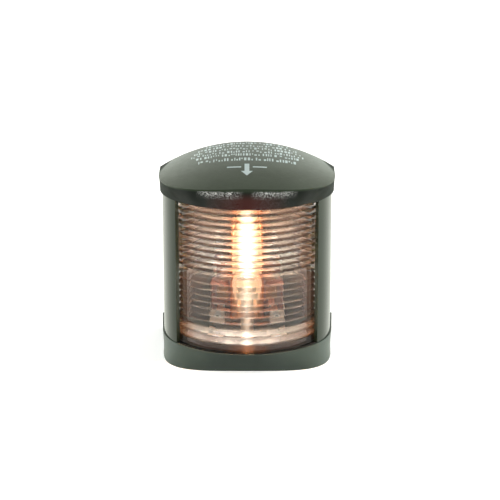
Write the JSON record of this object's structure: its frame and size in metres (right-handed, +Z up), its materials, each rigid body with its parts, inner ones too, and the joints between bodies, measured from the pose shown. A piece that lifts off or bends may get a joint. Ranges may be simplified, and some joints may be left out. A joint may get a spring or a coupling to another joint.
{
  "type": "navigation light",
  "caption": "Bulkhead-mounted boat stern light: domed cap, ribbed clear lens between dark side masks, plinth, and a festoon bulb on a carrier inside.",
  "frame": {"origin": "middle of the two mounting holes, on the wall plane", "axes": "+Z up, -Y the way the light shines, away from the wall, +X to the viewer's right from the front"},
  "size_m": [0.0684, 0.051, 0.0769],
  "materials": {
    "housing_plastic": "fine spark-eroded grain",
    "cap_plastic": "fine spark-eroded grain",
    "mask_plastic": "gloss",
    "clear_lens": "clear, ribbed outside",
    "seal_rubber": "satin",
    "gasket_foam": "closed-cell foam",
    "carrier_resin": "satin",
    "contact_brass": "satin",
    "copper": "satin copper",
    "plated_steel": "bright plated",
    "bulb_metal": "satin",
    "bulb_clear": "clear",
    "filament_wire": "glowing tungsten",
    "spacer_plastic": "satin moulded spacer"
  },
  "bodies": {
    "base": {"base_housing": "housing_plastic", "back_gasket": "gasket_foam", "cable_grommet": "seal_rubber", "base_seal": "seal_rubber", "lamp_carrier": "carrier_resin", "contact_bar": "copper", "carrier_rivets": "plated_steel", "plate_rivet": "plated_steel", "reflector_plate": "contact_brass", "contact_upper": "contact_brass", "contact_lower": "contact_brass", "terminal_left": "contact_brass", "terminal_right": "contact_brass", "contact_post": "contact_brass", "mount_pad_left": "spacer_plastic", "mount_pad_right": "spacer_plastic"},
    "hood": {"top_cap": "cap_plastic", "cheek_left": "mask_plastic", "cheek_right": "mask_plastic", "fresnel_lens": "clear_lens", "lens_top_seal": "seal_rubber"},
    "cover_screw_l": {"cover_screw_left": "plated_steel"},
    "cover_screw_r": {"cover_screw_right": "plated_steel"},
    "terminal_screw_l": {"terminal_screw_left": "plated_steel"},
    "terminal_screw_r": {"terminal_screw_right": "plated_steel"},
    "bulb": {"bulb_glass": "bulb_clear", "bulb_cap_lower": "bulb_metal", "bulb_cap_upper": "bulb_metal", "bulb_filament": "filament_wire", "bulb_supports": "plated_steel"}
  },
  "joints": [
    {"name": "hood_lift", "type": "slide", "parent": "base", "child": "hood", "axis": [0, 0, 1], "range_m": [0, 0.075]},
    {"name": "bulb_pull", "type": "slide", "parent": "base", "child": "bulb", "axis": [0, -1, 0], "range_m": [0, 0.01]},
    {"name": "cover_screw_left_turn", "type": "hinge", "parent": "base", "child": "cover_screw_l", "pos_m": [-0.0305, -0.013, -0.006], "axis": [0, 0, 1], "continuous": true},
    {"name": "cover_screw_right_turn", "type": "hinge", "parent": "base", "child": "cover_screw_r", "pos_m": [0.0305, -0.013, -0.006], "axis": [0, 0, 1], "continuous": true},
    {"name": "terminal_screw_left_turn", "type": "hinge", "parent": "base", "child": "terminal_screw_l", "pos_m": [-0.0095, -0.0135, 0.0108], "axis": [0, 1, 0], "continuous": true},
    {"name": "terminal_screw_right_turn", "type": "hinge", "parent": "base", "child": "terminal_screw_r", "pos_m": [0.0095, -0.0135, 0.0108], "axis": [0, 1, 0], "continuous": true}
  ]
}
